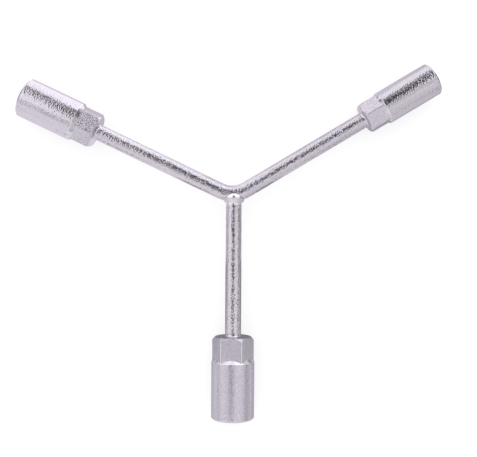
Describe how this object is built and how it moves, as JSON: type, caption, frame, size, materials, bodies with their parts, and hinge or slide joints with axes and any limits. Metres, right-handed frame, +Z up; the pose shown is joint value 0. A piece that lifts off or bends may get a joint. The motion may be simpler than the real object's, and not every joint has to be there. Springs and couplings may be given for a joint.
{
  "type": "y wrench",
  "caption": "Three-way Y socket wrench: a bent round bar and a welded leg bar, each end carrying a hexagonal-necked socket for a nut, satin chrome plated.",
  "frame": {"origin": "on the bench the wrench lies on, under the middle of its bounding box", "axes": "+Z up from the bench, with the three bar axes in one level plane; +X to the right, along the longest side, towards the 14 mm socket; the leg and its 19 mm socket point to -Y"},
  "size_m": [0.2562, 0.2134, 0.0259],
  "materials": {
    "bar_plating": "satin chrome plate over drawn bar, with a fine mottled grain",
    "socket_plating": "satin chrome plate over forged steel, with a fine mottled grain",
    "weld_plating": "smooth chrome plate over weld metal"
  },
  "bodies": {
    "root": {"arm_bar": "bar_plating", "leg_bar": "bar_plating", "junction_collar": "weld_plating", "socket_14mm": "socket_plating", "socket_17mm": "socket_plating", "socket_19mm": "socket_plating", "neck_weld_14mm": "weld_plating", "neck_weld_17mm": "weld_plating", "neck_weld_19mm": "weld_plating"}
  },
  "joints": []
}
